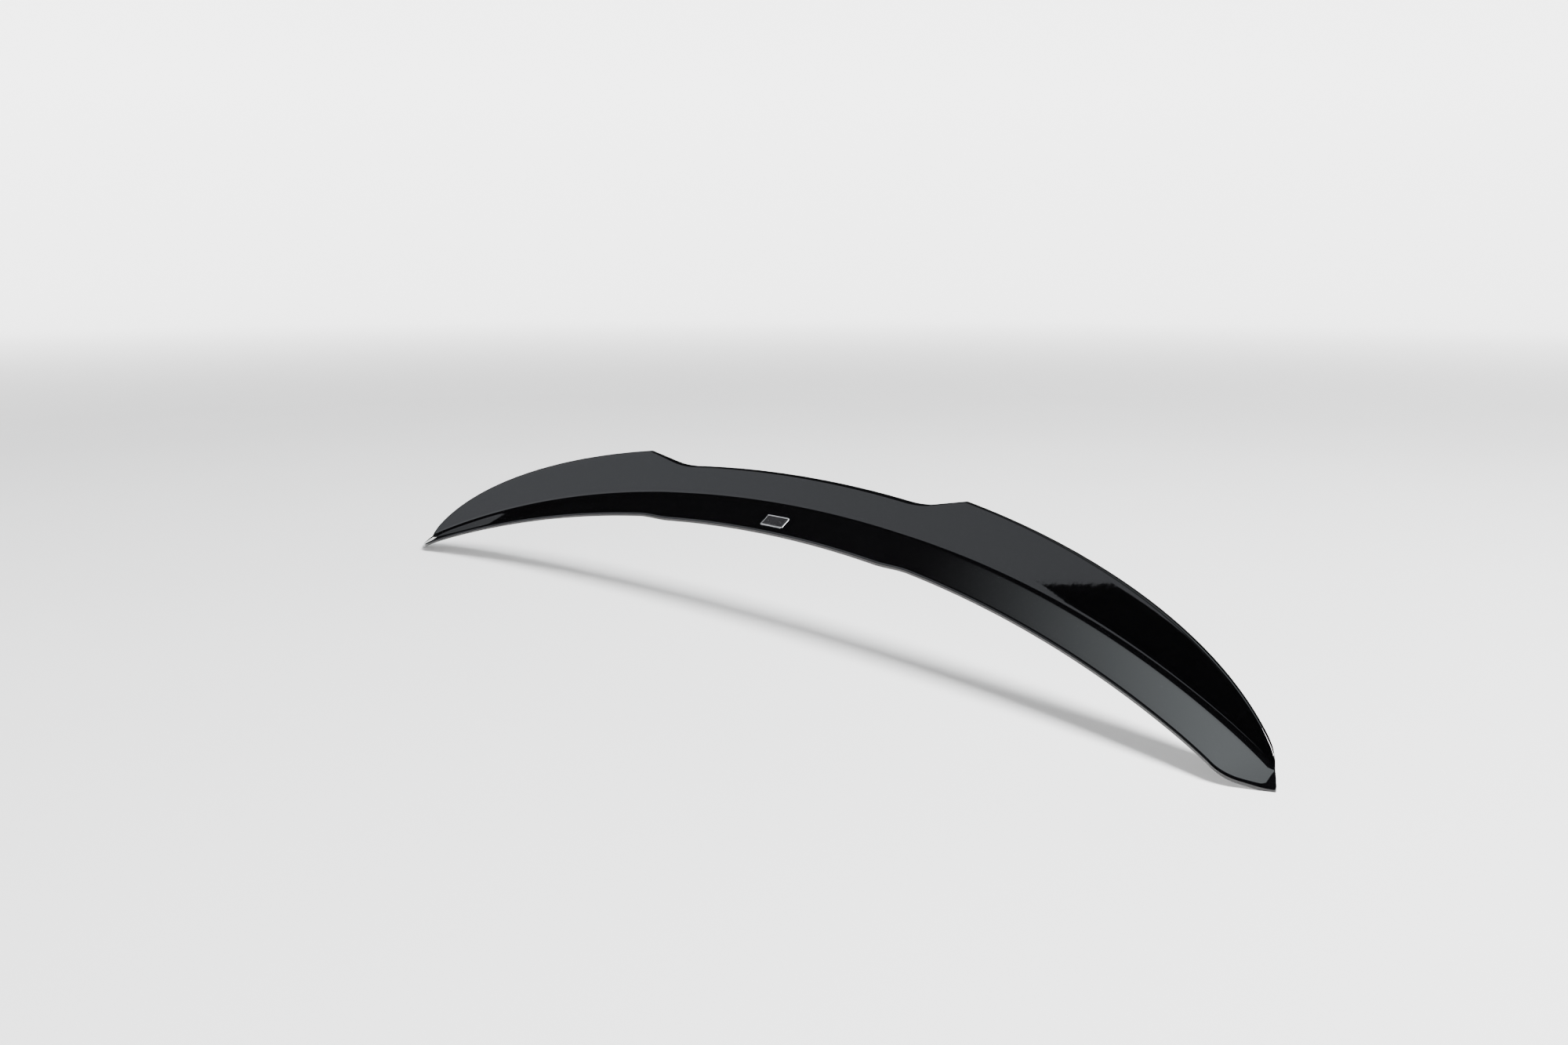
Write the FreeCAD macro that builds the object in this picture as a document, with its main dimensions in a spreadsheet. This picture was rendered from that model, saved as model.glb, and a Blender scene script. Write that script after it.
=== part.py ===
"""Rear spoiler extension: one gloss black sheet-plastic cap for the trailing edge of a car's rear wing.

A sloped flange is bonded to the wing's top face. Behind the fold an upright flap rises to a lip,
lower over the middle and falling away to both tips, and a rear wall hangs behind the wing's edge.
Axes: +X along the span, +Y towards the rear, +Z up. Millimetres.
Origin: the inside corner under the fold, on the plane of symmetry, where the wing's edge seats.
"""
import math
import os

import FreeCAD
import Part
import Sketcher

V = FreeCAD.Vector

# Driving dimensions, each with its own name in the sheet
SIZES = {
    # the arched line of the fold, in plan and from the front
    "half_span": 565,
    "plan_radius": 2500,
    "plan_sweep": 9,
    "crown_radius": 1950,
    "tip_droop": 20,
    # the bonded flange in front of the fold, recessed over the middle
    "flange_depth": 29,
    "flange_flare": 4,
    "flange_drop": 18,
    "flange_ease": 8,
    "recess_depth": 3,
    "recess_half": 145,
    "recess_run": 45,
    # the upright flap, its lip and the wall behind it
    "skin": 3.5,
    "flap_lean": 15,
    "peak_height": 43.3,
    "peak_half": 219,
    "notch_height": 27,
    "notch_half": 165,
    "tip_height": -3,
    "shoulder_over": 8.5,
    "lip": 4,
    "wall_hang": 9,
    "channel_end": 57,
    # the tips: dip of the front edge, lead of the point ahead of the fold, slants of the two cuts
    "tip_dip": 20,
    "tip_lead": 7,
    "tip_sweep": 28,
    "tip_rake": 45,
    # rounded edges
    "fold_round": 9,
    "notch_round": 120,
    "peak_round": 12,
    "tip_round": 25,
    "edge_round": 1.6,
}

doc = FreeCAD.newDocument("spoiler_extension")
sheet = doc.addObject("Spreadsheet::Sheet", "Sizes")
for row, (name, value) in enumerate(SIZES.items(), start=1):
    sheet.set(f"A{row}", name)
    sheet.set(f"B{row}", str(value))
    sheet.setAlias(f"B{row}", name)
doc.recompute()

body = doc.addObject("PartDesign::Body", "SpoilerExtension")
body.Label = "spoiler_extension"


# Sketch helpers
def new_sketch(name, role):
    """A sketch on one of the body's own origin planes."""
    sketch = body.newObject("Sketcher::SketchObject", name)
    plane = next(o for o in body.Origin.OriginFeatures if o.Role == role)
    sketch.AttachmentSupport = [(plane, "")]
    sketch.MapMode = "FlatFace"
    return sketch


def lines(sketch, points, construction=False):
    """Adds a chain of straight lines through the points and returns their numbers."""
    chain = [Part.LineSegment(V(*a, 0), V(*b, 0)) for a, b in zip(points, points[1:])]
    return list(sketch.addGeometry(chain, construction))


def arc(sketch, centre, radius, start, end):
    """Adds an arc that runs anticlockwise between two angles in radians and returns its number."""
    circle = Part.Circle(V(*centre, 0), V(0, 0, 1), radius)
    return sketch.addGeometry(Part.ArcOfCircle(circle, start, end), False)


def fix(sketch, *rules):
    """Adds geometric constraints to a sketch."""
    for rule in rules:
        sketch.addConstraint(Sketcher.Constraint(*rule))


def join(sketch, *numbers):
    """Joins the end of each line to the start of the next."""
    fix(sketch, *[("Coincident", a, 2, b, 1) for a, b in zip(numbers, numbers[1:])])


def bind(sketch, *dimensions):
    """Adds named dimensions to a sketch, each bound to an expression of the sheet."""
    for label, kind, expression in dimensions:
        index = sketch.addConstraint(Sketcher.Constraint(*kind))
        sketch.renameConstraint(index, label)
        sketch.setExpression(f"Constraints.{label}", expression)


# Expressions for places that follow from the driving dimensions, at a distance x from mid-span
def share(x, power):
    return f"(({x}) / Sizes.half_span)^{power}"


def fold_y(x):
    return f"-(({x})^2 / (2 * Sizes.plan_radius) + Sizes.plan_sweep * {share(x, 4)})"


def fold_z(x):
    return f"-(({x})^2 / (2 * Sizes.crown_radius) + Sizes.tip_droop * {share(x, 4)})"


def depth(x):
    return f"(Sizes.flange_depth + Sizes.flange_flare * {share(x, 4)})"


def drop(x, recessed):
    tip = f"Sizes.tip_dip * {share(x, 40)} - Sizes.flange_ease * {share(x, 4)}"
    return f"(Sizes.flange_drop + {tip} + {int(recessed)} * Sizes.recess_depth)"


def wall(x):
    return f"({LEAN} * Sizes.peak_height * (1 - {share(x, 10)}) + Sizes.lip)"


def hang(x):
    return f"(Sizes.skin + (Sizes.wall_hang - Sizes.skin) * (1 - {share(x, 8)}))"


def roof(x):
    return f"((Sizes.notch_height - Sizes.skin) * (1 - {share(x, 8)}))"


LEAN = "tan(Sizes.flap_lean * 1 deg)"
TOP = "(1.15 * Sizes.peak_height)"
BLOCK = "(2 * (Sizes.flange_drop + Sizes.tip_dip) + Sizes.recess_depth + Sizes.skin)"


# Sections across the span
def station_sketch(name, x):
    """A sketch across the span at x, its own origin on the sharp line of the fold."""
    sketch = new_sketch(name, "YZ_Plane")
    sketch.setExpression("AttachmentOffset.Base.x", fold_y(x))
    sketch.setExpression("AttachmentOffset.Base.y", fold_z(x))
    sketch.setExpression("AttachmentOffset.Base.z", x)
    return sketch


def block_section(name, x, recessed):
    """The outside at one place: flange, rounded fold, flap and rear face, over a solid block."""
    sketch = station_sketch(name, x)
    (flange,) = lines(sketch, [(-29, -18), (-2.5, -1.6)])
    fold = arc(sketch, (-7.8, 5.7), 9, -0.95, -0.3)
    flap, lip, back, under, front = lines(
        sketch, [(0.8, 3), (13, 50), (18, 50), (18, -83), (-29, -83), (-29, -18)]
    )
    fix(sketch, ("Tangent", flange, 2, fold, 1), ("Tangent", fold, 2, flap, 1))
    join(sketch, flap, lip, back, under, front, flange)
    fix(sketch, ("PointOnObject", -1, 1, flange), ("PointOnObject", -1, 1, flap))
    fix(sketch, ("Horizontal", lip), ("Vertical", back), ("Horizontal", under), ("Vertical", front))
    bind(
        sketch,
        ("depth", ("DistanceX", flange, 1, -1, 1, 29), depth(x)),
        ("drop", ("DistanceY", flange, 1, -1, 1, 18), drop(x, recessed)),
        ("round", ("Radius", fold, 9), "Sizes.fold_round"),
        ("lean", ("DistanceX", -1, 1, flap, 2, 13), f"{LEAN} * {TOP}"),
        ("top", ("DistanceY", -1, 1, flap, 2, 50), TOP),
        ("wall", ("DistanceX", -1, 1, back, 2, 18), wall(x)),
        ("block", ("DistanceY", under, 1, -1, 1, 83), BLOCK),
    )
    return sketch


def underside_section(name, x, recessed):
    """What is taken away below the flange and below the foot of the rear wall."""
    past_fold = "1.3 * Sizes.skin"
    sketch = station_sketch(name, x)
    under, step, foot, outer, floor, front = lines(
        sketch, [(-60, -40), (4.4, -1.2), (12, -9), (38, -9), (38, -124), (-60, -124), (-60, -40)]
    )
    flange, flap = lines(sketch, [(-29, -18), (0, 0), (13, 50)], True)
    join(sketch, under, step, foot, outer, floor, front, under)
    fix(sketch, ("Coincident", flange, 2, -1, 1), ("Coincident", flap, 1, -1, 1))
    fix(sketch, ("Parallel", under, flange))
    fix(sketch, ("Horizontal", foot), ("Vertical", outer), ("Horizontal", floor), ("Vertical", front))
    bind(
        sketch,
        ("depth", ("DistanceX", flange, 1, -1, 1, 29), depth(x)),
        ("drop", ("DistanceY", flange, 1, -1, 1, 18), drop(x, recessed)),
        ("lean", ("DistanceX", -1, 1, flap, 2, 13), f"{LEAN} * {TOP}"),
        ("top", ("DistanceY", -1, 1, flap, 2, 50), TOP),
        ("flange_skin", ("Distance", under, 1, flange, 4), "Sizes.skin"),
        ("past_fold", ("Distance", under, 2, flap, 4), past_fold),
        ("ahead", ("DistanceX", under, 1, -1, 1, 60), f"2 * {depth(x)}"),
        ("step", ("DistanceX", -1, 1, step, 2, 12), f"max({wall(x)} - 1.5 * Sizes.skin; {past_fold})"),
        ("hang", ("DistanceY", step, 2, -1, 1, 9), hang(x)),
        ("behind", ("DistanceX", -1, 1, foot, 2, 38), f"{wall(x)} + 4 * Sizes.skin"),
        ("below", ("DistanceY", outer, 2, -1, 1, 124), f"1.5 * {BLOCK}"),
    )
    return sketch


def channel_section(name, x, recessed):
    """The hollow behind the flap that the wing's edge stands in, open below."""
    sketch = station_sketch(name, x)
    flap_back, top, wall_front, mouth = lines(
        sketch, [(0.5, -12), (9, 17), (14, 17), (14, -12), (0.5, -12)]
    )
    (flap,) = lines(sketch, [(0, 0), (13, 50)], True)
    join(sketch, flap_back, top, wall_front, mouth, flap_back)
    fix(sketch, ("Coincident", flap, 1, -1, 1), ("Parallel", flap_back, flap))
    fix(sketch, ("Horizontal", top), ("Vertical", wall_front), ("Horizontal", mouth))
    bind(
        sketch,
        ("lean", ("DistanceX", -1, 1, flap, 2, 13), f"{LEAN} * {TOP}"),
        ("top", ("DistanceY", -1, 1, flap, 2, 50), TOP),
        ("flap_skin", ("Distance", flap_back, 2, flap, 4), "Sizes.skin"),
        ("roof", ("DistanceY", -1, 1, top, 1, 17), roof(x)),
        ("wall", ("DistanceX", -1, 1, top, 2, 14), f"{wall(x)} - Sizes.skin"),
        ("mouth", ("DistanceY", wall_front, 2, -1, 1, 12), f"1.3 * {hang(x)}"),
    )
    return sketch


# Features
def loft(name, kind, draw, half):
    """A solid through the same section drawn at places along the span, alike to left and right."""
    places = [(f"-({x})", recessed) for x, recessed in reversed(half[1:])] + half
    sketches = [draw(f"{name}{i:02d}", x, recessed) for i, (x, recessed) in enumerate(places)]
    doc.recompute()
    feature = body.newObject(kind, name)
    feature.Profile = sketches[0]
    feature.Sections = sketches[1:]
    feature.Ruled = False
    doc.recompute()
    return feature


def cut_through(name, sketch):
    """A straight cut through the whole part, from an outline drawn well clear of it."""
    sketch.setExpression("AttachmentOffset.Base.z", "Sizes.half_span")
    doc.recompute()
    pocket = body.newObject("PartDesign::Pocket", name)
    pocket.Profile = sketch
    pocket.Type = "ThroughAll"
    doc.recompute()
    return pocket


def edges_where(feature, test):
    """Names of the feature's edges whose middle point passes the test."""
    middles = [e.valueAt((e.FirstParameter + e.LastParameter) / 2) for e in feature.Shape.Edges]
    return [f"Edge{i}" for i, p in enumerate(middles, start=1) if test(p)]


def fillet(name, base, names, radius):
    """A round along the named edges and those that run on from them."""
    feature = body.newObject("PartDesign::Fillet", name)
    feature.Base = (base, names)
    feature.setExpression("Radius", radius)
    doc.recompute()
    return feature


# Places along the span: the recessed middle of the flange, its ramps, then out past the tips
ramp_end = "(Sizes.recess_half + Sizes.recess_run)"
outboard = f"(1.01 * Sizes.half_span - {ramp_end})"
recessed_places = ("0", "0.55 * Sizes.recess_half", "Sizes.recess_half")
outboard_shares = (0, 0.14, 0.34, 0.55, 0.72, 0.82, 0.89, 0.95, 1)
flange_places = [(x, True) for x in recessed_places]
flange_places += [(f"{ramp_end} + {k} * {outboard}", False) for k in outboard_shares]
channel_half = "(Sizes.half_span - Sizes.channel_end)"
channel_places = [(f"{k} * {channel_half}", False) for k in (0, 0.3, 0.55, 0.75, 0.9, 1)]

loft("Block", "PartDesign::AdditiveLoft", block_section, flange_places)

# The shoulders, seen from the front: one ellipse through both peaks that comes down to the tips
SPAN = "(Sizes.half_span + Sizes.shoulder_over)"
PEAK_Z = f"({fold_z('Sizes.peak_half')} + Sizes.peak_height)"
TIP_Z = f"({fold_z('Sizes.half_span')} + Sizes.tip_height)"
AT_PEAK = f"sqrt(1 - (Sizes.peak_half / {SPAN})^2)"
AT_TIP = f"sqrt(1 - (Sizes.half_span / {SPAN})^2)"
RISE = f"(({PEAK_Z} - {TIP_Z}) / ({AT_PEAK} - {AT_TIP}))"
trim_sketch = new_sketch("ShoulderOutline", "XZ_Plane")
ring = trim_sketch.addGeometry(Part.Ellipse(V(572, -129, 0), V(0, 45, 0), V(0, -129, 0)), False)
trim_sketch.exposeInternalGeometry(ring)
major, minor = ring + 1, ring + 2
bottom, right, top, left = lines(
    trim_sketch, [(-700, -400), (700, -400), (700, 100), (-700, 100), (-700, -400)]
)
join(trim_sketch, bottom, right, top, left, bottom)
fix(trim_sketch, ("Horizontal", bottom), ("Vertical", right), ("Horizontal", top), ("Vertical", left))
fix(trim_sketch, ("PointOnObject", ring, 3, -2), ("Horizontal", major))
bind(
    trim_sketch,
    ("level", ("DistanceY", -1, 1, ring, 3, -129), f"{PEAK_Z} - {RISE} * {AT_PEAK}"),
    ("span", ("Distance", major, 1144), f"2 * {SPAN}"),
    ("rise", ("Distance", minor, 348), f"2 * {RISE}"),
    ("left", ("DistanceX", bottom, 1, -1, 1, 700), f"1.2 * {SPAN}"),
    ("right", ("DistanceX", -1, 1, bottom, 2, 700), f"1.2 * {SPAN}"),
    ("top", ("DistanceY", ring, 3, top, 1, 225), f"2 * {RISE}"),
    ("bottom", ("DistanceY", bottom, 1, ring, 3, 275), f"2 * {RISE}"),
)
cut_through("ShoulderTrim", trim_sketch)

# The lip is lower over the middle, with a sloped ramp up to each peak
notch_sketch = new_sketch("NotchOutline", "XZ_Plane")
foot, peak, crown = SIZES["notch_half"], SIZES["peak_half"], SIZES["crown_radius"]
swing = math.asin(foot / crown)
middle = arc(
    notch_sketch, (0, SIZES["notch_height"] - crown), crown, math.pi / 2 - swing, math.pi / 2 + swing
)
right, out_right, over, out_left, left = lines(
    notch_sketch, [(foot, 21.5), (273, 41), (273, 380), (-273, 380), (-273, 41), (-foot, 21.5)]
)
top = notch_sketch.addGeometry(Part.Point(V(peak, 31.25, 0)), True)
join(notch_sketch, right, out_right, over, out_left, left)
fix(notch_sketch, ("Coincident", middle, 1, right, 1), ("Coincident", left, 2, middle, 2))
fix(notch_sketch, ("Symmetric", right, 1, left, 2, -2), ("Symmetric", right, 2, left, 1, -2))
fix(notch_sketch, ("PointOnObject", top, 1, right))
fix(notch_sketch, ("Vertical", out_right), ("Vertical", out_left), ("Horizontal", over))
bind(
    notch_sketch,
    ("crown", ("Radius", middle, crown), "Sizes.crown_radius"),
    ("level", ("DistanceY", middle, 3, -1, 1, 1921), "Sizes.crown_radius - Sizes.notch_height"),
    ("foot", ("DistanceX", -1, 1, right, 1, foot), "Sizes.notch_half"),
    ("peak", ("DistanceX", -1, 1, top, 1, peak), "Sizes.peak_half"),
    ("peak_level", ("DistanceY", -1, 1, top, 1, 31.25), PEAK_Z),
    ("reach", ("DistanceX", top, 1, right, 2, 54), "Sizes.peak_half - Sizes.notch_half"),
    ("over", ("DistanceY", top, 1, over, 1, 340), f"2 * {RISE}"),
)
cut_through("NotchCut", notch_sketch)

# The tips, seen from above: the front edge is cut back to a point, and the flap is cut away behind it
tip_sketch = new_sketch("TipOutline", "XY_Plane")
TIP_Y = f"({fold_y('Sizes.half_span')} - Sizes.tip_lead)"
tip_x = SIZES["half_span"]
tip_y = -(tip_x**2 / (2 * SIZES["plan_radius"]) + SIZES["plan_sweep"] + SIZES["tip_lead"])
inner, rear, far, fore = tip_x - 87, tip_y + 43, 1.2 * tip_x, tip_y - 104
swept, raked, out, side, ahead, home = lines(
    tip_sketch,
    [(inner, tip_y - 46), (tip_x, tip_y), (tip_x - 43, rear), (far, rear), (far, fore), (inner, fore),
     (inner, tip_y - 46)],
)
join(tip_sketch, swept, raked, out, side, ahead, home, swept)
fix(tip_sketch, ("Horizontal", out), ("Vertical", side), ("Horizontal", ahead), ("Vertical", home))
bind(
    tip_sketch,
    ("tip", ("DistanceX", -1, 1, swept, 2, tip_x), "Sizes.half_span"),
    ("lead", ("DistanceY", swept, 2, -1, 1, -tip_y), f"-{TIP_Y}"),
    ("sweep", ("Angle", swept, 0.49), "Sizes.tip_sweep * 1 deg"),
    ("inner", ("DistanceX", swept, 1, swept, 2, 87), "3 * Sizes.flange_depth"),
    ("rake", ("Angle", raked, 2.36), "(180 - Sizes.tip_rake) * 1 deg"),
    ("rear", ("DistanceY", raked, 1, raked, 2, 43), "1.5 * Sizes.flange_depth"),
    ("side", ("DistanceX", -1, 1, side, 1, far), "1.2 * Sizes.half_span"),
    ("ahead", ("DistanceY", ahead, 2, swept, 1, 58), "2 * Sizes.flange_depth"),
)
tip = cut_through("TipCut", tip_sketch)
tips = body.newObject("PartDesign::Mirrored", "TipCuts")
tips.Originals = [tip]
tips.MirrorPlane = (tip_sketch, ["V_Axis"])
body.Tip = tips
doc.recompute()


def is_nose(edge):
    """Whether an edge stands upright where the front edge turns back to a tip."""
    box = edge.BoundBox
    return max(box.XLength, box.YLength) < 0.01 and box.YMax < tip_y - 1 and abs(box.XMax) > 0.8 * tip_x


# Rounds where the front edge turns back to each tip
nose_names = [f"Edge{i}" for i, edge in enumerate(tips.Shape.Edges, start=1) if is_nose(edge)]
noses = fillet("TipRound", tips, nose_names, "Sizes.tip_round")

# Rounds at the feet of the ramps and at the peaks, then along the lip and the front edge
feet_names = edges_where(noses, lambda p: abs(abs(p.x) - SIZES["notch_half"]) < 0.5 and p.z > 0)
feet = fillet("NotchRound", noses, feet_names, "Sizes.notch_round")
peak_names = edges_where(feet, lambda p: abs(abs(p.x) - SIZES["peak_half"]) < 0.5 and p.z > 0)
peaks = fillet("PeakRound", feet, peak_names, "Sizes.peak_round")
lip_names = edges_where(peaks, lambda p: abs(p.x) < 1 and p.z > 0.5 * SIZES["notch_height"])
front_names = edges_where(peaks, lambda p: abs(p.x) < 1 and p.y < -0.95 * SIZES["flange_depth"])
front_top = max(front_names, key=lambda name: peaks.Shape.getElement(name).CenterOfMass.z)
fillet("EdgeRound", peaks, lip_names + [front_top], "Sizes.edge_round")

# The underside of the flange and the hollow behind the flap
loft("Underside", "PartDesign::SubtractiveLoft", underside_section, flange_places)
loft("Channel", "PartDesign::SubtractiveLoft", channel_section, channel_places)

# The inside corner under the fold at mid-span comes to the origin
SLOPE = "((Sizes.flange_drop + Sizes.recess_depth) / Sizes.flange_depth)"
ACROSS = f"(Sizes.skin * sqrt(1 + {LEAN}^2))"
DOWN = f"(Sizes.skin * sqrt(1 + {SLOPE}^2))"
SEAT_Z = f"(({SLOPE} * {ACROSS} - {DOWN}) / (1 - {SLOPE} * {LEAN}))"
body.setExpression("Placement.Base.y", f"-({ACROSS} + {LEAN} * {SEAT_Z})")
body.setExpression("Placement.Base.z", f"-{SEAT_Z}")
doc.recompute()

failed = [o.Name for o in doc.Objects if "Invalid" in o.State or "Error" in o.State]
if failed or body.Shape.isNull() or not body.Shape.isValid() or len(body.Shape.Solids) != 1:
    raise RuntimeError(f"not built: {failed}")
os.makedirs("parts", exist_ok=True)
body.Shape.exportStep(f"parts/{body.Label}.step")
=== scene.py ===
import math

import bmesh
import bpy
import mathutils
import numpy as np
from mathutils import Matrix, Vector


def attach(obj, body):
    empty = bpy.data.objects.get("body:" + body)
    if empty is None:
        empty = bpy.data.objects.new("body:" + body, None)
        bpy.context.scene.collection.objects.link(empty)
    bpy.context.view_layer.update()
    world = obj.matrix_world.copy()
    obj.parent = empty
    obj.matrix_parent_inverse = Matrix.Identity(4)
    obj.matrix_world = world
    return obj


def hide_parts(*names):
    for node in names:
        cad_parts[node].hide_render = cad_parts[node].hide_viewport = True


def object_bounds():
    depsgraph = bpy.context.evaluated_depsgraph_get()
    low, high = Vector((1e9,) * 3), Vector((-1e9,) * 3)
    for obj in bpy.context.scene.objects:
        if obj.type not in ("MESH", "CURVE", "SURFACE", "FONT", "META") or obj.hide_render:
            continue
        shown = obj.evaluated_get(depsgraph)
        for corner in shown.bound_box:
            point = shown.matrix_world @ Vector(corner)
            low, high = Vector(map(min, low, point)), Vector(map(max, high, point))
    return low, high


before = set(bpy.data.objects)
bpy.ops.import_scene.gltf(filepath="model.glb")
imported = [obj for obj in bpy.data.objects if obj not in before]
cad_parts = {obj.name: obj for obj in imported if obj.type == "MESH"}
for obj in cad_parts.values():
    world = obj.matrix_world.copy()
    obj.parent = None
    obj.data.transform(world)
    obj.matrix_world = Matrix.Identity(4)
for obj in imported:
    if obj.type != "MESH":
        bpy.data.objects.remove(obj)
cad_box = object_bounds()

# The shell of the spoiler extension is one thin moulding of black ABS: a flange, a rounded fold,
# an upright flap with its lip, and a wall behind the hollow. It is injection moulded, polished to
# a high gloss outside, left matt inside, and bonded over the edge that it extends.
MM = 0.001  # sizes are in millimetres, meshes in metres
HALF_SPAN = 565.0
PLAN_RADIUS, PLAN_SWEEP = 2500.0, 9.0
CROWN_RADIUS, TIP_DROOP = 1950.0, 20.0
BEND_POWER = 4
FLANGE_DEPTH, FLANGE_FLARE = 29.0, 4.0
FLANGE_DROP, FLANGE_EASE = 18.0, 8.0
RECESS_DEPTH, RECESS_HALF, RECESS_RUN = 3.0, 145.0, 45.0
TIP_DIP, DIP_POWER, TIP_LEAD = 20.0, 40, 7.0
TIP_SWEEP, TAIL_SLOPE = math.tan(math.radians(28)), math.tan(math.radians(53))
TIP_ROUND, TAIL_ROUND = 25.0, 5.0
SKIN, LEAN = 3.5, math.tan(math.radians(15))
PEAK_HEIGHT, PEAK_HALF = 43.3, 219.0
NOTCH_HEIGHT, NOTCH_HALF, ARCH_REACH = 27.0, 165.0, 300.0
TIP_HEIGHT, SHOULDER_OVER = -3.0, 8.5
LIP, LIP_LEAST = 4.0, 2.4
WALL_HANG, WALL_POWER = 9.0, 10
CHANNEL_HALF, HOLLOW_POWER = 508.0, 8
SEAT_SKINS, FOOT_SKINS, LEAST_RUN = 1.3, 1.5, 0.01
FOLD_ROUND, FRONT_ROUND, EDGE_ROUND, INNER_ROUND = 9.0, 3.4, 1.6, 0.5
NOTCH_ROUND, PEAK_ROUND = 120.0, 12.0
SEAT_CORNER = (3.059, -2.106)  # the CAD origin, as (y, z) from the sharp fold at mid-span
SHELL_END = 564.3


def soft_max(a, b, reach):
    """The larger of two values, with a parabola over the corner where they are within reach."""
    near = np.maximum(reach - np.abs(a - b), 0)
    return np.maximum(a, b) + near**2 / (4 * reach)


def corner_reach(radius, turn):
    """The reach that gives soft_max a corner of this radius: radius times turn squared, halved."""
    return radius * turn**2 / 2


def fold_line(x):
    """The sharp fold line: a parabola in plan and in height, plus a bend of x to the fourth."""
    bend = (x / HALF_SPAN) ** BEND_POWER
    back = -(x**2 / (2 * PLAN_RADIUS) + PLAN_SWEEP * bend)
    up = -(x**2 / (2 * CROWN_RADIUS) + TIP_DROOP * bend)
    return back, up


def lip_line(x):
    """Height of the lip: a circle over the middle, a straight ramp to each peak, then an ellipse.

    The ramp leaves the circle through a soft larger-of, and meets the ellipse, which runs down to
    the tips, through a soft smaller-of.
    """
    span = HALF_SPAN + SHOULDER_OVER
    peak_z = fold_line(PEAK_HALF)[1] + PEAK_HEIGHT
    tip_z = fold_line(HALF_SPAN)[1] + TIP_HEIGHT
    at_peak = math.sqrt(1 - (PEAK_HALF / span) ** 2)
    at_tip = math.sqrt(1 - (HALF_SPAN / span) ** 2)
    rise = (peak_z - tip_z) / (at_peak - at_tip)
    ellipse = peak_z + rise * (np.sqrt(1 - (x / span) ** 2) - at_peak)
    centre_z = NOTCH_HEIGHT - CROWN_RADIUS
    arch = centre_z + np.sqrt(CROWN_RADIUS**2 - np.minimum(np.abs(x), ARCH_REACH) ** 2)
    foot_z = centre_z + math.sqrt(CROWN_RADIUS**2 - NOTCH_HALF**2)
    climb = (peak_z - foot_z) / (PEAK_HALF - NOTCH_HALF)
    ramp = peak_z + climb * (np.abs(x) - PEAK_HALF)
    foot_turn = climb + NOTCH_HALF / CROWN_RADIUS
    peak_turn = climb + rise * PEAK_HALF / (span**2 * at_peak)
    notch = soft_max(arch, ramp, corner_reach(NOTCH_ROUND, foot_turn))
    return -soft_max(-notch, -ellipse, corner_reach(PEAK_ROUND, peak_turn))


def flange_line(x):
    """Depth of the flange, and its slope, which is its drop over its depth.

    Both change with x to the fourth. The middle third lies lower at the front, between two
    smoothstep ramps, and a high power of x dips the very tips.
    """
    u = np.abs(x) / HALF_SPAN
    ramp = np.clip((np.abs(x) - RECESS_HALF) / RECESS_RUN, 0, 1)
    recess = RECESS_DEPTH * (1 - ramp**2 * (3 - 2 * ramp))
    depth = FLANGE_DEPTH + FLANGE_FLARE * u**BEND_POWER
    drop = FLANGE_DROP - FLANGE_EASE * u**BEND_POWER + TIP_DIP * u**DIP_POWER + recess
    return depth, drop / depth


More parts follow.
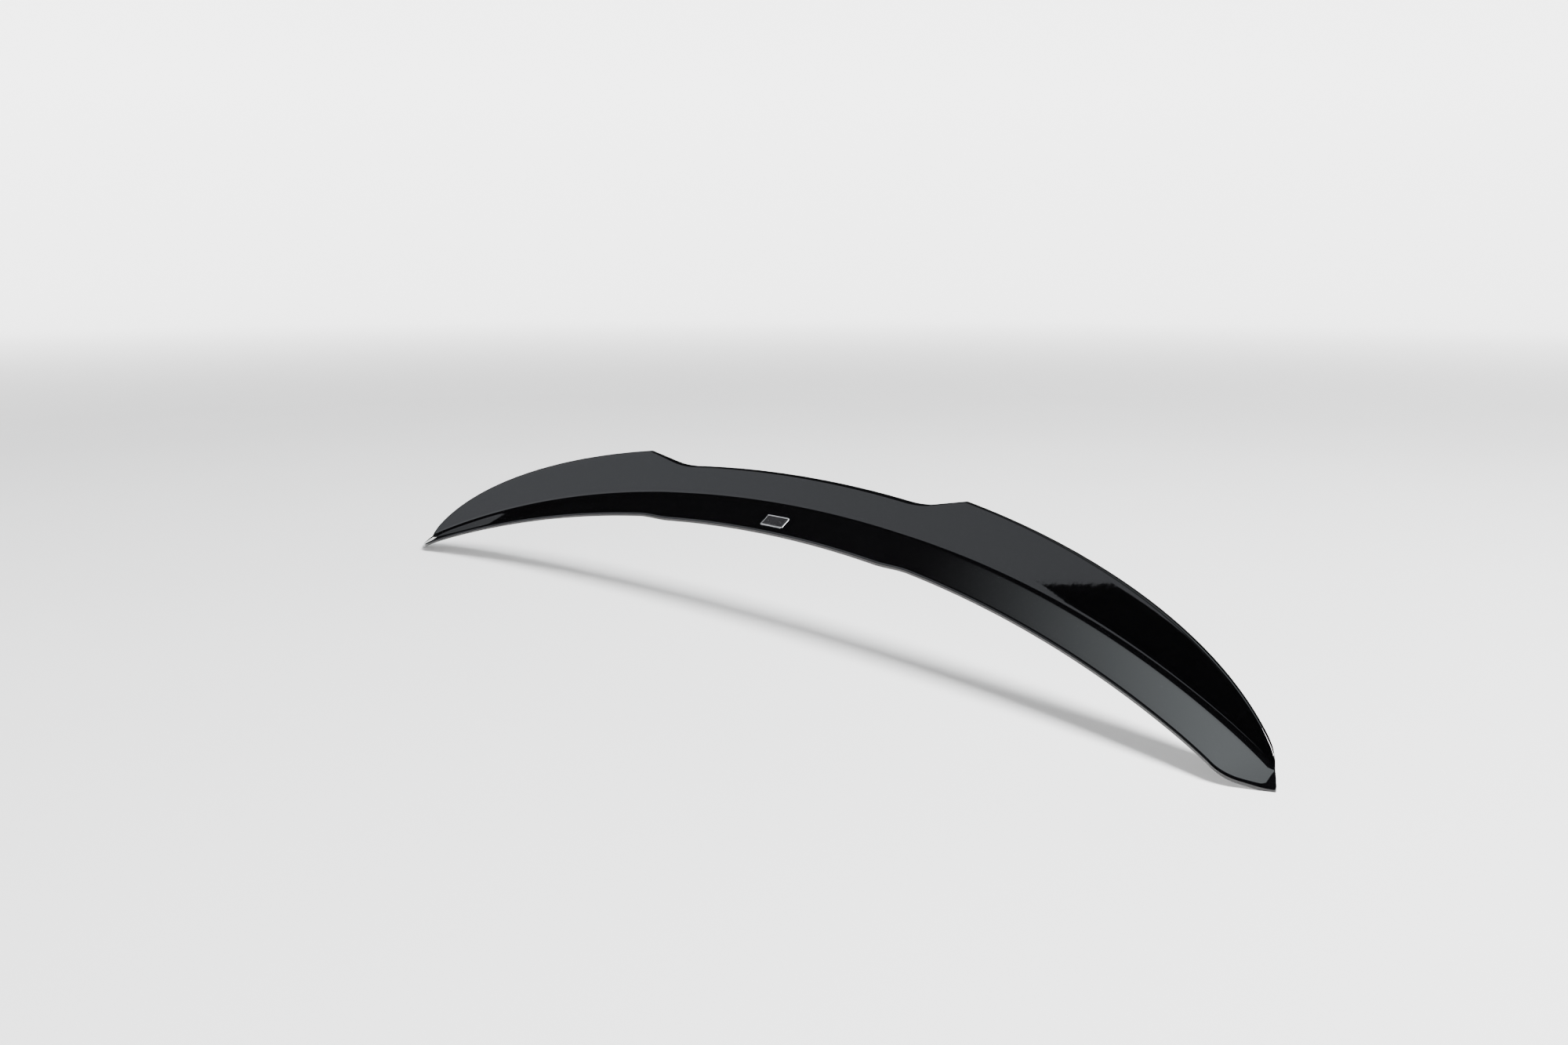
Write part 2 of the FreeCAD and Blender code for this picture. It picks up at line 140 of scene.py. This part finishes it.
def shell_section(x, hollow):
    """Corners of the section across the shell at each x, as (y, z) from the fold, and their radii.

    The outside runs front edge, fold, lip and wall. The inside runs back along the hollow, or
    where that has ended along a filled slope, and under the flange. Towards a tip every corner is
    held ahead of the slanting tail, and its height is read off the uncut outline.
    """
    u = np.abs(x) / HALF_SPAN
    fold_back, fold_up = fold_line(x)
    depth, slope = flange_line(x)
    tip_y = fold_line(HALF_SPAN)[0] - TIP_LEAD
    nose = tip_y - TIP_SWEEP * (HALF_SPAN - np.abs(x)) - fold_back
    edge_turn = HALF_SPAN / PLAN_RADIUS + BEND_POWER * (PLAN_SWEEP + FLANGE_FLARE) / HALF_SPAN
    front = soft_max(-depth, nose, corner_reach(TIP_ROUND, TIP_SWEEP + edge_turn))
    tail = tip_y + TAIL_SLOPE * (HALF_SPAN - np.abs(x)) - fold_back
    height = lip_line(x) - fold_up
    straight_wall = LEAN * PEAK_HEIGHT * (1 - u**WALL_POWER) + LIP
    wall = np.maximum(straight_wall, LEAN * height + LIP_LEAST)
    hang = SKIN + (WALL_HANG - SKIN) * (1 - u**HOLLOW_POWER)
    roof = (NOTCH_HEIGHT - SKIN) * (1 - u**HOLLOW_POWER)
    across, down = SKIN * math.hypot(1, LEAN), SKIN * np.hypot(1, slope)
    seat = (across - LEAN * down) / (1 - LEAN * slope)
    closed_seat = (SEAT_SKINS * across - LEAN * down) / (1 - LEAN * slope)
    closed_foot = np.maximum(wall - FOOT_SKINS * SKIN, SEAT_SKINS * SKIN)

    def over(y):
        """Height of the uncut outside at y: the flange's slope, the flap's lean, then the lip."""
        return np.minimum(np.where(y < 0, slope * y, y / LEAN), height)

    def under(y):
        """Height of the uncut inside at y where there is no hollow: the flange's, then a slope."""
        step = (y - closed_seat) / np.maximum(closed_foot - closed_seat, LEAST_RUN)
        start = slope * closed_seat - down
        filled = start + np.clip(step, 0, 1) * (-hang - start)
        return np.where(y < closed_seat, slope * y - down, filled)

    def cut(y):
        """The smaller of y and the slanting tail, softly, and never ahead of the front edge."""
        return np.maximum(-soft_max(-y, -tail, TAIL_ROUND), front)

    outside = [(cut(y), over(cut(y))) for y in (front, np.zeros_like(x), LEAN * height, wall)]
    outside.append((cut(wall), under(cut(wall))))
    third = (closed_foot - closed_seat) / 3
    filled_at = (closed_foot, closed_seat + 2 * third, closed_seat + third, closed_seat)
    closed = [(cut(y), under(cut(y))) for y in filled_at]
    opened = [(wall - SKIN, -hang), (wall - SKIN, roof),
              (LEAN * roof + across, roof), (seat, slope * seat - down)]
    inside = [tuple(np.where(hollow, a, b) for a, b in zip(p, q)) for p, q in zip(opened, closed)]
    corners = outside + inside + [(front, slope * front - down)]
    places = np.stack([np.stack(p, axis=-1) for p in corners], axis=1)
    rounds = [FRONT_ROUND, FOLD_ROUND, EDGE_ROUND, EDGE_ROUND] + 6 * [INNER_ROUND]
    return places, np.broadcast_to(rounds, places.shape[:2])


TANGENT_SHARE, SHARPEST_TURN, GUARD = 0.45, 3.0, 1e-9


def rounded_outline(corners, rounds, arc_points, run_points):
    """Closed outlines from polygons: corners become arcs tangent to their sides, sides even steps.

    An arc starts a tangent length before its corner, and follows
    start + radius (sin a along the first side + (1 - cos a) inward).
    Where a side is short the tangent length is a share of it, and the radius shrinks to suit.
    """
    side = np.roll(corners, -1, axis=1) - corners
    length = np.maximum(np.linalg.norm(side, axis=-1), GUARD)
    ahead = side / length[..., None]
    along, before = np.roll(ahead, 1, axis=1), np.roll(length, 1, axis=1)
    cross = along[..., 0] * ahead[..., 1] - along[..., 1] * ahead[..., 0]
    turn = np.abs(np.arctan2(cross, (along * ahead).sum(-1)))
    half = np.tan(np.minimum(turn, SHARPEST_TURN) / 2) + GUARD
    tangent = np.minimum(rounds * half, TANGENT_SHARE * np.minimum(length, before))
    radius = tangent / half
    inward = np.sign(cross)[..., None] * np.stack([-along[..., 1], along[..., 0]], axis=-1)
    start = corners - tangent[..., None] * along
    pieces = []
    for k, (bend, run) in enumerate(zip(arc_points, run_points)):
        angle = (turn[:, k, None] * np.linspace(0, 1, bend))[..., None]
        swing = np.sin(angle) * along[:, k, None] + (1 - np.cos(angle)) * inward[:, k, None]
        curve = start[:, k, None] + radius[:, k, None, None] * swing
        share = (np.arange(1, run + 1) / (run + 1))[None, :, None]
        following = start[:, (k + 1) % corners.shape[1], None]
        pieces += [curve, curve[:, -1:] * (1 - share) + following * share]
    return np.concatenate(pieces, axis=1)


WELD, SHARP_EDGE = 2e-6, math.radians(32)


def add_object(name, points, faces, closed, marks):
    """An object at the origin from points in metres and faces, smooth, with its doubles welded.

    Marks are values on the points. A closed one gets outward normals and its sharp edges.
    """
    mesh = bpy.data.meshes.new(name)
    mesh.from_pydata(points.tolist(), [], faces)
    for mark, values in marks.items():
        layer = mesh.attributes.new(mark, "FLOAT", "POINT")
        layer.data.foreach_set("value", values.astype(np.float32))
    shape = bmesh.new()
    shape.from_mesh(mesh)
    bmesh.ops.remove_doubles(shape, verts=shape.verts, dist=WELD)
    if closed:
        bmesh.ops.recalc_face_normals(shape, faces=shape.faces)
    shape.to_mesh(mesh)
    shape.free()
    mesh.shade_smooth()
    if closed:
        mesh.set_sharp_from_angle(angle=SHARP_EDGE)
    added = bpy.data.objects.new(name, mesh)
    bpy.context.scene.collection.objects.link(added)
    return added


def tube_mesh(name, rings, **marks):
    """A closed surface: quads from ring to ring, and a fan at each end to that ring's centre."""
    count, around = rings.shape[:2]
    ends = [rings[0].mean(0)[None], rings[-1].mean(0)[None]]
    points = MM * np.concatenate([rings.reshape(-1, 3)] + ends)
    ring, step = np.meshgrid(np.arange(count - 1), np.arange(around), indexing="ij")
    a, b = ring * around + step, ring * around + (step + 1) % around
    quads = np.stack([a, b, b + around, a + around], axis=-1).reshape(-1, 4)
    first, last = np.arange(around), (count - 1) * around + np.arange(around)
    low = np.stack([np.roll(first, -1), first, np.full(around, count * around)], axis=-1)
    high = np.stack([last, np.roll(last, -1), np.full(around, count * around + 1)], axis=-1)
    faces = quads.tolist() + low.tolist() + high.tolist()
    spread = {mark: np.broadcast_to(values, (count, around)) for mark, values in marks.items()}
    spread = {mark: np.append(grid, [grid[0, 0], grid[-1, 0]]) for mark, grid in spread.items()}
    return add_object(name, points, faces, True, spread)


class Finish:
    """One value in a material's nodes.

    Arithmetic on it adds Math nodes, and add() gives any other node. Two of those come up often:
    blend() mixes two colours, and noise() is a cloud of a scale and a detail.
    """

    def __init__(self, tree, socket=None):
        self.tree = tree
        self.socket = socket

    def add(self, kind, settings, sockets, output=0):
        node = self.tree.nodes.new(kind)
        for name, value in settings.items():
            setattr(node, name, value)
        for name, value in sockets.items():
            if isinstance(value, Finish):
                self.tree.links.new(value.socket, node.inputs[name])
            else:
                node.inputs[name].default_value = value
        return Finish(self.tree, node.outputs[output]) if node.outputs else None

    def blend(self, factor, a, b):
        colours = {"Factor": factor, "A": a, "B": b}
        return self.add("ShaderNodeMix", {"data_type": "RGBA"}, colours, 2)

    def noise(self, place, scale, detail):
        sockets = {"Vector": place, "Scale": scale, "Detail": detail}
        return self.add("ShaderNodeTexNoise", {}, sockets, "Fac")

    def maths(self, operation, a, b):
        return self.add("ShaderNodeMath", {"operation": operation}, {0: a, 1: b})

    def __add__(self, other):
        return self.maths("ADD", self, other)

    def __sub__(self, other):
        return self.maths("SUBTRACT", self, other)

    def __rsub__(self, other):
        return self.maths("SUBTRACT", other, self)

    def __mul__(self, other):
        return self.maths("MULTIPLY", self, other)

    __radd__, __rmul__ = __add__, __mul__


def new_finish(name):
    """An empty material, and the handle that adds nodes to it."""
    material = bpy.data.materials.new(name)
    material.use_nodes = True
    material.node_tree.nodes.clear()
    return material, Finish(material.node_tree)


ABS_BLACK, ABS_INSIDE, ABS_IOR = (0.001, 0.001, 0.0012, 1), (0.020, 0.020, 0.021, 1), 1.53
DUST_GREY, DUST_SHARE, DUST_ROUGH = (0.20, 0.19, 0.18, 1), 0.007, 0.05
GLOSS_ROUGH, CLOUD_ROUGH = 0.015, 0.02
INSIDE_ROUGH, GRAIN_ROUGH = 0.42, 0.12
WAVE_SHARE, BUMP_STRENGTH, BUMP_DEPTH = 0.4, 0.05, 0.0004
# Each pattern has the scale and the detail of its noise.
SPECKS, FILM, GRAIN, CLOUD, WAVE = (900, 2), (35, 4), (1500, 3), (12, 3), (160, 1)
SPECK_RANGE, DUST_RANGE, GRAIN_RANGE = (0.62, 0.78), (0.3, 1.0), (0.3, 0.7)


def gloss_black():
    """Polished black ABS outside, with clouded gloss and a faint wave, and matt grained ABS inside.

    Dust lies on the upward faces: how far they face up, times the mean of a film and of specks.
    """
    material, nodes = new_finish("gloss_black_abs")
    place = nodes.add("ShaderNodeTexCoord", {}, {}, "Object")
    inside = nodes.add("ShaderNodeAttribute", {"attribute_name": "inside"}, {}, "Fac")
    normal = nodes.add("ShaderNodeNewGeometry", {}, {}, "Normal")
    upward = nodes.add("ShaderNodeSeparateXYZ", {}, {0: normal}, "Z")

    def stretched(value, low, high):
        """The value brought from low and high to 0 and 1."""
        sockets = {"Value": value, "From Min": low, "From Max": high}
        return nodes.add("ShaderNodeMapRange", {}, sockets)

    specks = stretched(nodes.noise(place, *SPECKS), *SPECK_RANGE)
    dust = stretched(upward, *DUST_RANGE) * (nodes.noise(place, *FILM) * 0.5 + specks * 0.5)
    grain = stretched(nodes.noise(place, *GRAIN), *GRAIN_RANGE)
    colour = nodes.blend(inside, nodes.blend(dust * DUST_SHARE, ABS_BLACK, DUST_GREY), ABS_INSIDE)
    gloss = GLOSS_ROUGH + nodes.noise(place, *CLOUD) * CLOUD_ROUGH + dust * DUST_ROUGH
    rough = gloss * (1 - inside) + inside * (INSIDE_ROUGH + grain * GRAIN_ROUGH)
    relief = nodes.noise(place, *WAVE) * WAVE_SHARE * (1 - inside) + inside * grain
    bump = nodes.add("ShaderNodeBump", {}, {
        "Strength": BUMP_STRENGTH, "Distance": BUMP_DEPTH, "Height": relief})
    shader = nodes.add("ShaderNodeBsdfPrincipled", {}, {
        "Base Color": colour, "Roughness": rough, "Normal": bump, "IOR": ABS_IOR})
    nodes.add("ShaderNodeOutputMaterial", {}, {"Surface": shader})
    return material


# Stretches of the half span with their number of sections: from the middle out, then closer at
# the foot of the ramp, at the peak and in the tip. Two sections at one x end the hollow.
TIP_ZONE, NOTCH_ZONE, PEAK_ZONE = 65.0, 28.0, 6.0
STRETCHES = [
    (0, HALF_SPAN - TIP_ZONE, 150),
    (NOTCH_HALF - NOTCH_ZONE, NOTCH_HALF + NOTCH_ZONE, 40),
    (PEAK_HALF - PEAK_ZONE, PEAK_HALF + PEAK_ZONE, 30),
    (HALF_SPAN - TIP_ZONE, SHELL_END, 110),
]
CHANNEL_CLEAR = 0.05
half_x = np.unique(np.round(np.concatenate([np.linspace(*part) for part in STRETCHES]), 3))
half_x = half_x[np.abs(half_x - CHANNEL_HALF) > CHANNEL_CLEAR]
half_x = np.sort(np.append(half_x, [CHANNEL_HALF, CHANNEL_HALF]))
half_closed = np.arange(len(half_x)) > np.searchsorted(half_x, CHANNEL_HALF)
shell_x = np.concatenate([-half_x[:0:-1], half_x])
shell_open = ~np.concatenate([half_closed[:0:-1], half_closed])

# Points on the arc of each corner, and on the side after it. The first four are the outside.
ARC_POINTS = [8, 14, 8, 8, 3, 3, 3, 3, 4, 3]
RUN_POINTS = [7, 9, 1, 7, 1, 5, 2, 7, 7, 2]
OUTER_CORNERS = 4
outline = rounded_outline(*shell_section(shell_x, shell_open), ARC_POINTS, RUN_POINTS)
around = outline.shape[1]
outer_points = sum(ARC_POINTS[:OUTER_CORNERS]) + sum(RUN_POINTS[:OUTER_CORNERS]) + 1
front_points = RUN_POINTS[-1] + 1
inside_mark = (np.arange(around) >= outer_points) & (np.arange(around) < around - front_points)
fold_back, fold_up = fold_line(shell_x)
shell_rings = np.stack([
    np.repeat(shell_x[:, None], around, axis=1),
    outline[..., 0] + fold_back[:, None] - SEAT_CORNER[0],
    outline[..., 1] + fold_up[:, None] - SEAT_CORNER[1],
], axis=-1)
box_low, box_high = (np.array(corner) / MM for corner in cad_box)
shell_rings = np.clip(shell_rings, box_low, box_high)
shell = tube_mesh("shell", shell_rings, inside=inside_mark[None])
shell.data.materials.append(gloss_black())
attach(shell, "root")
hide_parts("spoiler_extension")

# The badge plate is a small blank plate of black plastic in a chromed rim, on the middle of the
# flange, with nothing on its face. It is moulded and plated by itself, and held by a pad of tape.
PLATE_WIDE, PLATE_LONG = 30.0, 14.0
PLATE_CORNER, PLATE_LEAST_CORNER = 1.6, 0.4
PLATE_BACK = -18.3
PLATE_STEPS = np.array([  # inset and height, from the foot over the rim to the face
    (0, -0.3), (0, 0.6), (0.12, 0.85), (0.4, 1.0), (0.8, 1.0), (1.05, 0.85), (1.15, 0.6),
    (1.6, 0.55)])
RIM_STEPS = 7
PLATE_ARC, PLATE_RUN = 8, 6
PLATE_BLACK, PLATE_CHROME = (0.012, 0.012, 0.013, 1), (0.72, 0.73, 0.75, 1)
FACE_ROUGH, FACE_CLOUDED, RIM_SMOOTHER = 0.22, 0.08, 0.12
PLATE_CLOUD = (400, 3)


def plate_rings(inset, height):
    """Rounded rectangles that shrink by each step's inset, on the flange's slope at its height."""
    across, along = PLATE_WIDE / 2 - inset, PLATE_LONG / 2 - inset
    quarters = ((1, 1), (-1, 1), (-1, -1), (1, -1))
    corners = np.stack([np.stack([i * across, j * along], axis=-1) for i, j in quarters], axis=1)
    rounds = np.repeat(np.maximum(PLATE_CORNER - inset, PLATE_LEAST_CORNER)[:, None], 4, axis=1)
    flat = rounded_outline(corners, rounds, 4 * [PLATE_ARC], 4 * [PLATE_RUN])
    slope = math.atan(flange_line(np.zeros(1))[1][0])
    level, steep = np.cos(slope), np.sin(slope)
    middle = [0, PLATE_BACK - SEAT_CORNER[0], PLATE_BACK * math.tan(slope) - SEAT_CORNER[1]]
    return (np.array(middle) + flat[..., :1] * [1, 0, 0] + flat[..., 1:] * [0, level, steep]
            + height[:, None, None] * np.array([0, -steep, level]))


def plate_finish():
    """Satin black face and bright plated rim, both faintly clouded."""
    material, nodes = new_finish("plate_black_and_chrome")
    place = nodes.add("ShaderNodeTexCoord", {}, {}, "Object")
    rim = nodes.add("ShaderNodeAttribute", {"attribute_name": "rim"}, {}, "Fac")
    cloud = nodes.noise(place, *PLATE_CLOUD)
    colour = nodes.blend(rim, PLATE_BLACK, PLATE_CHROME)
    rough = FACE_ROUGH + cloud * FACE_CLOUDED - rim * RIM_SMOOTHER
    shader = nodes.add("ShaderNodeBsdfPrincipled", {}, {
        "Base Color": colour, "Roughness": rough, "Metallic": rim})
    nodes.add("ShaderNodeOutputMaterial", {}, {"Surface": shader})
    return material


rim_mark = (np.arange(len(PLATE_STEPS)) < RIM_STEPS)[:, None]
plate = tube_mesh("badge_plate", plate_rings(PLATE_STEPS[:, 0], PLATE_STEPS[:, 1]), rim=rim_mark)
plate.data.materials.append(plate_finish())
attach(plate, "root")

# The floor is plain pale board at the height of the two tips, and a cove of the same board curves
# up from it on every side. The boards glow softly further out, and the cove is kept out of mirror
# reflections, so that the gloss shows the light panels.
FLOOR_REACH, COVE_BEND, COVE_HIGH = 6.0, 1.2, 3.2
FLOOR_RINGS, COVE_RINGS, BOARD_SIDES = 30, 24, 96
BOARD_DARK, BOARD_PALE, BOARD_ROUGH = (0.78, 0.78, 0.78, 1), (0.82, 0.82, 0.82, 1), 0.7
BOARD_MOTTLE = (3, 2)
GLOW_START, GLOW_STRENGTH = 1.5, 2.6


def turned_mesh(name, radius, height):
    """A surface of revolution: (r cos a, r sin a, z), a once round, r and z along the profile."""
    turn = np.linspace(0, 2 * np.pi, BOARD_SIDES, endpoint=False)
    points = np.stack([np.outer(radius, np.cos(turn)), np.outer(radius, np.sin(turn)),
                       np.outer(height, np.ones_like(turn))], axis=-1)
    row, col = np.meshgrid(np.arange(len(radius) - 1), np.arange(BOARD_SIDES), indexing="ij")
    a, b = row * BOARD_SIDES + col, row * BOARD_SIDES + (col + 1) % BOARD_SIDES
    quads = np.stack([a, a + BOARD_SIDES, b + BOARD_SIDES, b], axis=-1).reshape(-1, 4)
    return add_object(name, points.reshape(-1, 3), quads.tolist(), False, {})


def pale_board():
    """Matt off-white board with a faint mottle, and a glow that grows away from the object."""
    material, nodes = new_finish("pale_board")
    place = nodes.add("ShaderNodeTexCoord", {}, {}, "Object")
    mottle = nodes.noise(place, *BOARD_MOTTLE)
    away = nodes.add("ShaderNodeVectorMath", {"operation": "LENGTH"}, {0: place}, "Value")
    rise = nodes.add("ShaderNodeMapRange", {"interpolation_type": "SMOOTHSTEP"}, {
        "Value": away, "From Min": GLOW_START, "From Max": FLOOR_REACH + COVE_BEND})
    shader = nodes.add("ShaderNodeBsdfPrincipled", {}, {
        "Base Color": nodes.blend(mottle, BOARD_DARK, BOARD_PALE), "Roughness": BOARD_ROUGH,
        "Emission Color": nodes.blend(rise, (0, 0, 0, 1), (1, 1, 1, 1)),
        "Emission Strength": GLOW_STRENGTH})
    nodes.add("ShaderNodeOutputMaterial", {}, {"Surface": shader})
    return material


floor_z = cad_box[0].z
floor_radius = np.linspace(0, FLOOR_REACH, FLOOR_RINGS)
floor = turned_mesh("floor", floor_radius, np.full(FLOOR_RINGS, floor_z))
bend = np.linspace(0, np.pi / 2, COVE_RINGS)
cove_radius = np.append(FLOOR_REACH + COVE_BEND * np.sin(bend), FLOOR_REACH + COVE_BEND)
cove = turned_mesh("cove", cove_radius,
                   floor_z + np.append(COVE_BEND * (1 - np.cos(bend)), COVE_HIGH))
cove.visible_glossy = False
board_finish = pale_board()
for board in (floor, cove):
    board.data.materials.append(board_finish)

# The studio light is three soft panels: a tilted one on the left that the flap mirrors, one above
# that the near end of the flange mirrors, and one high on the right that lights the floor.
# Each has its place, the line it shines along, its roll in degrees, size, watts and tint.
PANELS = {
    "flap_panel": (
        (-2.444, -1.779, 1.116), (0.7314, 0.6820, 0), 45, (1.6, 1.6), 8.8, (0.90, 0.94, 1.0)),
    "flange_panel": (
        (-0.05, 0.40, 2.2), (0, 0, -1), 0, (3.1, 1.3), 34, (0.90, 0.97, 1.0)),
    "floor_panel": (
        (2.6, 0.2, 3.0), (-0.62, -0.05, -0.78), 0, (1.6, 1.6), 640, (1, 1, 1)),
}
FADES = {"flange_panel": 0.645}  # the share of a panel's width over which it fades in
WORLD_COLOUR = (0.008, 0.008, 0.0085, 1)


def aim_angles(line, roll):
    """Turns that bring an object's own -Z onto a line with its X level, then roll it about that."""
    pitch = math.atan2(math.hypot(line[0], line[1]), -line[2])
    level = mathutils.Euler((pitch, 0, math.atan2(-line[0], line[1]))).to_matrix()
    return (level @ mathutils.Matrix.Rotation(math.radians(roll), 3, "Z")).to_euler()


for panel_name, (place, line, roll, (wide, high), watts, tint) in PANELS.items():
    lamp = bpy.data.lights.new(panel_name, "AREA")
    lamp.shape = "RECTANGLE"
    lamp.size, lamp.size_y, lamp.energy, lamp.color = wide, high, watts, tint
    if panel_name in FADES:
        lamp.use_nodes = True
        glow = Finish(lamp.node_tree)
        spot = glow.add("ShaderNodeNewGeometry", {}, {}, "Parametric")
        along = glow.add("ShaderNodeSeparateXYZ", {}, {0: spot}, "X")
        fade = glow.add("ShaderNodeMapRange", {"interpolation_type": "SMOOTHSTEP"}, {
            "Value": along, "From Max": FADES[panel_name]})
        strength = lamp.node_tree.nodes["Emission"].inputs["Strength"]
        lamp.node_tree.links.new(fade.socket, strength)
    panel = bpy.data.objects.new(panel_name, lamp)
    panel.location, panel.rotation_euler = place, aim_angles(line, roll)
    bpy.context.scene.collection.objects.link(panel)
world = bpy.data.worlds.new("studio")
world.use_nodes = True
world.node_tree.nodes["Background"].inputs["Color"].default_value = WORLD_COLOUR
bpy.context.scene.world = world

# The camera stands where the photograph was taken from, with a level horizon and a 35 mm lens on a
# frame 36 mm wide.
VIEW_PLACE, VIEW_LINE = (1.058, -0.95756, 0.24251), (-0.7329, 0.6567, -0.1774)
LENS, FRAME_WIDE = 35.0, 36.0
camera_data = bpy.data.cameras.new("camera")
camera_data.lens, camera_data.sensor_width = LENS, FRAME_WIDE
camera = bpy.data.objects.new("camera", camera_data)
camera.location, camera.rotation_euler = VIEW_PLACE, aim_angles(VIEW_LINE, 0)
bpy.context.scene.collection.objects.link(camera)
bpy.context.scene.camera = camera
